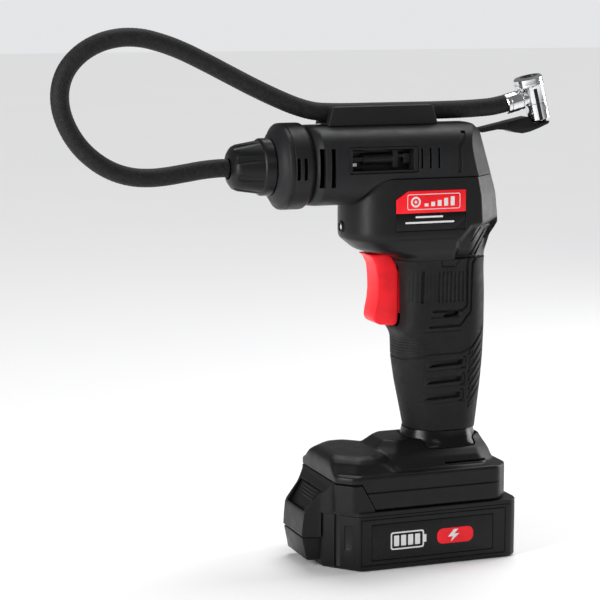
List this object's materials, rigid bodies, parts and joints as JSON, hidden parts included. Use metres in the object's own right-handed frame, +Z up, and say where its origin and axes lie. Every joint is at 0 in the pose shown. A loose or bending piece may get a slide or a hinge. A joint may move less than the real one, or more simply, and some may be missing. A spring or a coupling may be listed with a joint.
{
  "type": "portable tire inflator",
  "caption": "Cordless pistol-grip tire inflator with a slide-on battery, red trigger, braided air hose and chrome lever chuck.",
  "frame": {"origin": "centre of the battery's flat base, where the tool stands", "axes": "+Z up, -X towards the nose and the hose outlet, -Y the left side, which has the accessory bay"},
  "size_m": [0.2877, 0.072, 0.296],
  "materials": {
    "housing_plastic": "charcoal black, satin, fine moulded grain",
    "cover_plastic": "charcoal black, matte, fine moulded grain",
    "gloss_plastic": "glossy black",
    "display_glass": "smoked glossy window",
    "lamp_glass": "clear lamp lens",
    "grip_rubber": "matte black soft rubber",
    "button_rubber": "matte dark grey",
    "red_plastic": "satin bright red",
    "circuit_board": "green solder mask",
    "steel": "plain steel",
    "laminations": "laminated steel with copper windings",
    "nylon": "natural nylon",
    "aluminium": "cast and turned",
    "brass": "turned",
    "cell_wrap": "blue shrink wrap over a cell",
    "hose_braid": "black woven braid",
    "chrome": "polished chrome plate"
  },
  "bodies": {
    "housing": {"housing_left": "housing_plastic", "housing_right": "housing_plastic", "accessory_tray": "housing_plastic", "foot": "housing_plastic", "compressor_cover_left": "cover_plastic", "compressor_cover_right": "cover_plastic", "nose_ring": "cover_plastic", "hose_channel": "cover_plastic", "handle_collar": "gloss_plastic", "display_bezel": "gloss_plastic", "trigger_switch": "gloss_plastic", "terminal_block": "gloss_plastic", "display_lens": "display_glass", "lamp_lens": "lamp_glass", "grip_sleeve": "grip_rubber", "outlet_tube": "grip_rubber", "chuck_seal": "grip_rubber", "badge_plate": "red_plastic", "display_board": "circuit_board", "button_board": "circuit_board", "control_board": "circuit_board", "motor_can": "steel", "trigger_spring": "steel", "housing_screw_front": "steel", "housing_screw_rear": "steel", "accessory_clip": "steel", "lever_pin": "steel", "motor_end_bell": "nylon", "gear_frame": "aluminium", "cylinder": "aluminium", "cylinder_head": "aluminium", "outlet_fitting": "brass", "hose": "hose_braid", "chuck_body": "chrome", "hose_ferrule": "chrome"},
    "trigger": {"trigger": "red_plastic"},
    "power_button": {"button_power": "button_rubber"},
    "mode_button": {"button_mode": "button_rubber"},
    "minus_button": {"button_minus": "button_rubber"},
    "plus_button": {"button_plus": "button_rubber"},
    "battery": {"battery_case_lower": "housing_plastic", "battery_case_upper": "housing_plastic", "battery_label": "gloss_plastic", "battery_board": "circuit_board", "release_spring": "steel", "cell_1": "cell_wrap", "cell_2": "cell_wrap", "cell_3": "cell_wrap", "cell_4": "cell_wrap", "cell_5": "cell_wrap"},
    "release": {"release_button": "housing_plastic"},
    "chuck_lever": {"chuck_lever": "cover_plastic"},
    "hose_nut": {"hose_nut": "cover_plastic"},
    "rotor": {"rotor": "laminations", "motor_pinion": "brass", "cooling_fan": "nylon"},
    "crank_gear": {"crank_gear": "nylon"},
    "piston": {"piston": "nylon", "wrist_pin": "steel"},
    "connecting_rod": {"connecting_rod": "aluminium"}
  },
  "joints": [
    {"name": "trigger_pull", "type": "slide", "parent": "housing", "child": "trigger", "axis": [1, 0, 0], "range_m": [0, 0.006], "stiffness_N_per_m": 400, "springref_m": -0.003},
    {"name": "power_press", "type": "slide", "parent": "housing", "child": "power_button", "axis": [-1, 0, 0], "range_m": [0, 0.001], "stiffness_N_per_m": 600, "springref_m": -0.0005},
    {"name": "mode_press", "type": "slide", "parent": "housing", "child": "mode_button", "axis": [-1, 0, 0], "range_m": [0, 0.001], "stiffness_N_per_m": 600, "springref_m": -0.0005},
    {"name": "minus_press", "type": "slide", "parent": "housing", "child": "minus_button", "axis": [-1, 0, 0], "range_m": [0, 0.001], "stiffness_N_per_m": 600, "springref_m": -0.0005},
    {"name": "plus_press", "type": "slide", "parent": "housing", "child": "plus_button", "axis": [-1, 0, 0], "range_m": [0, 0.001], "stiffness_N_per_m": 600, "springref_m": -0.0005},
    {"name": "battery_slide", "type": "slide", "parent": "housing", "child": "battery", "axis": [-1, 0, 0], "range_m": [0, 0.08]},
    {"name": "release_press", "type": "slide", "parent": "battery", "child": "release", "axis": [0.811, 0, -0.585], "range_m": [0, 0.0016], "stiffness_N_per_m": 800, "springref_m": -0.001},
    {"name": "lever_turn", "type": "hinge", "parent": "housing", "child": "chuck_lever", "pos_m": [0.0817, 0, 0.2502], "axis": [0, -1, 0], "range_deg": [0, 90]},
    {"name": "nut_turn", "type": "hinge", "parent": "housing", "child": "hose_nut", "pos_m": [-0.09, 0, 0.2213], "axis": [1, 0, 0], "continuous": true},
    {"name": "rotor_spin", "type": "hinge", "parent": "housing", "child": "rotor", "pos_m": [0, 0, 0.2235], "axis": [1, 0, 0], "continuous": true},
    {"name": "crank_spin", "type": "hinge", "parent": "housing", "child": "crank_gear", "pos_m": [-0.016, 0, 0.2035], "axis": [1, 0, 0], "continuous": true},
    {"name": "piston_slide", "type": "slide", "parent": "housing", "child": "piston", "axis": [0, 0, 1], "range_m": [0, 0.01]},
    {"name": "rod_swing", "type": "hinge", "parent": "piston", "child": "connecting_rod", "pos_m": [-0.029, 0, 0.2165], "axis": [1, 0, 0], "range_deg": [-16, 16]}
  ],
  "couplings": [
    {"joint": "crank_spin", "follows": "rotor_spin", "ratio": -0.25}
  ]
}
